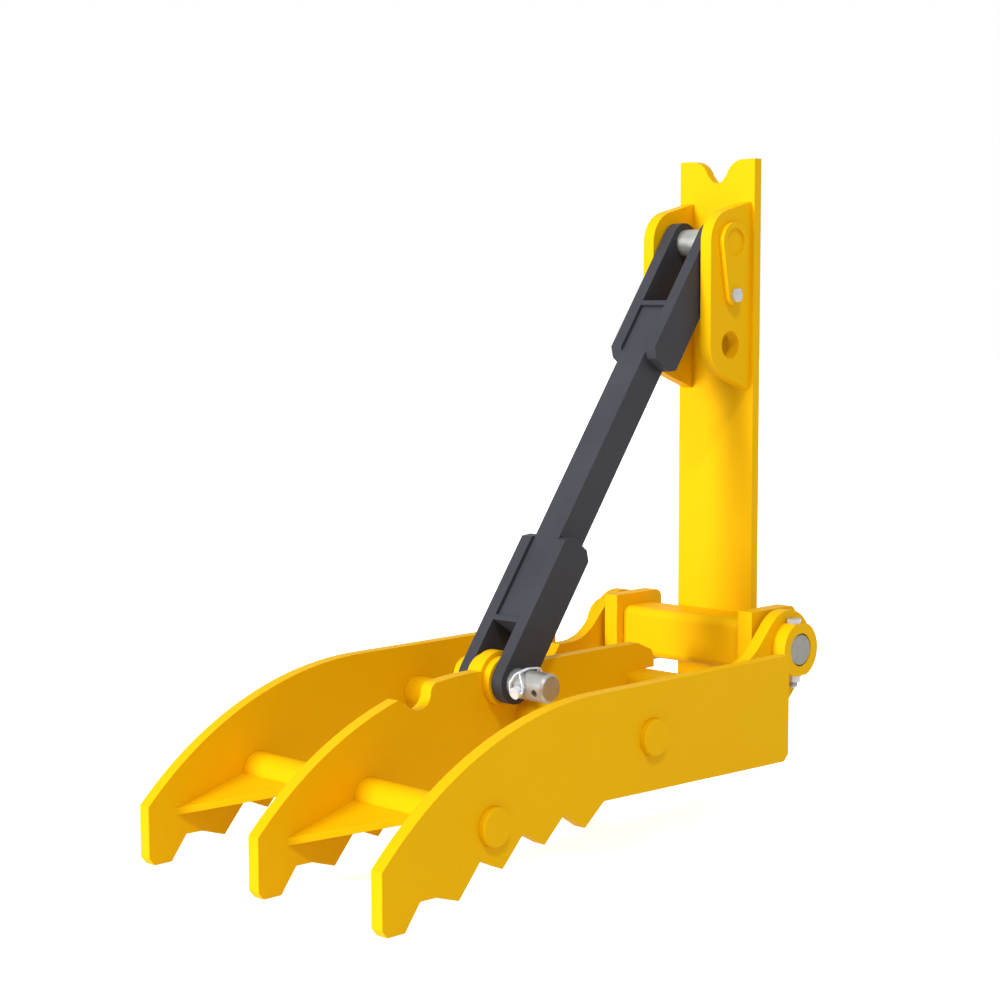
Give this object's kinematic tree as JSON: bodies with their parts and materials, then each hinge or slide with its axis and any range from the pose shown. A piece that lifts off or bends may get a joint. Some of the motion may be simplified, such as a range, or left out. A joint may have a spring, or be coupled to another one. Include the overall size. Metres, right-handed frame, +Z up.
{
  "type": "excavator thumb",
  "caption": "Weld-on mechanical thumb for a small excavator stick: toothed claw on a pivot, held open by a pinned stiff link.",
  "frame": {"origin": "on the weld face of the stick plate, level with the thumb's main pin, midway across the stick", "axes": "+X across the stick toward the linchpin side, +Y out of the weld face into the stick, +Z up the stick; the thumb reaches toward -Y"},
  "size_m": [0.304, 0.5743, 0.588],
  "materials": {
    "yellow_paint": "satin industrial enamel",
    "charcoal_paint": "satin powder coat",
    "pin_steel": "turned and ground",
    "zinc_plate": "bright zinc plate",
    "bush_bronze": "machined"
  },
  "bodies": {
    "base": {"stick_plate": "yellow_paint", "ear_left": "yellow_paint", "ear_right": "yellow_paint", "pivot_housing": "yellow_paint", "cheek_left": "yellow_paint", "cheek_right": "yellow_paint", "pivot_bush_left": "bush_bronze", "pivot_bush_right": "bush_bronze", "upper_pin": "pin_steel", "upper_pin_flag": "yellow_paint", "flag_bolt": "zinc_plate"},
    "thumb": {"side_plate_left": "yellow_paint", "side_plate_right": "yellow_paint", "middle_plate": "yellow_paint", "lug_boss": "yellow_paint", "pivot_lug_left": "yellow_paint", "pivot_lug_right": "yellow_paint", "pin_ring_left": "yellow_paint", "pin_ring_right": "yellow_paint", "main_pin": "pin_steel", "ring_bolts": "zinc_plate", "ring_nuts": "zinc_plate", "cross_beam": "yellow_paint", "cross_bar_front": "yellow_paint", "cross_bar_rear": "yellow_paint", "grip_web_left": "yellow_paint", "grip_web_right": "yellow_paint"},
    "link": {"link_bar": "charcoal_paint", "strap_upper_left": "charcoal_paint", "strap_upper_right": "charcoal_paint", "strap_lower_left": "charcoal_paint", "strap_lower_right": "charcoal_paint", "fork_web_upper": "charcoal_paint", "fork_web_lower": "charcoal_paint"},
    "lower_pin": {"lower_pin": "pin_steel", "linchpin": "zinc_plate", "lower_pin_head": "yellow_paint"},
    "bail": {"linchpin_bail": "zinc_plate"}
  },
  "joints": [
    {"name": "thumb_pivot", "type": "hinge", "parent": "base", "child": "thumb", "pos_m": [0, -0.0335, 0], "axis": [1, 0, 0], "range_deg": [-0.25, 0.25]},
    {"name": "link_pivot", "type": "hinge", "parent": "base", "child": "link", "pos_m": [0, -0.039, 0.369], "axis": [1, 0, 0], "range_deg": [-0.1, 0.1]},
    {"name": "lower_pin_turn", "type": "hinge", "parent": "link", "child": "lower_pin", "pos_m": [0, -0.3085, -0.0055], "axis": [1, 0, 0], "range_deg": [-150, 80]},
    {"name": "bail_swing", "type": "hinge", "parent": "lower_pin", "child": "bail", "pos_m": [0.04, -0.32359, -0.00983], "axis": [1, 0, 0], "range_deg": [0, 170]}
  ],
  "couplings": [
    {"joint": "link_pivot", "follows": "thumb_pivot", "ratio": 0.358}
  ]
}
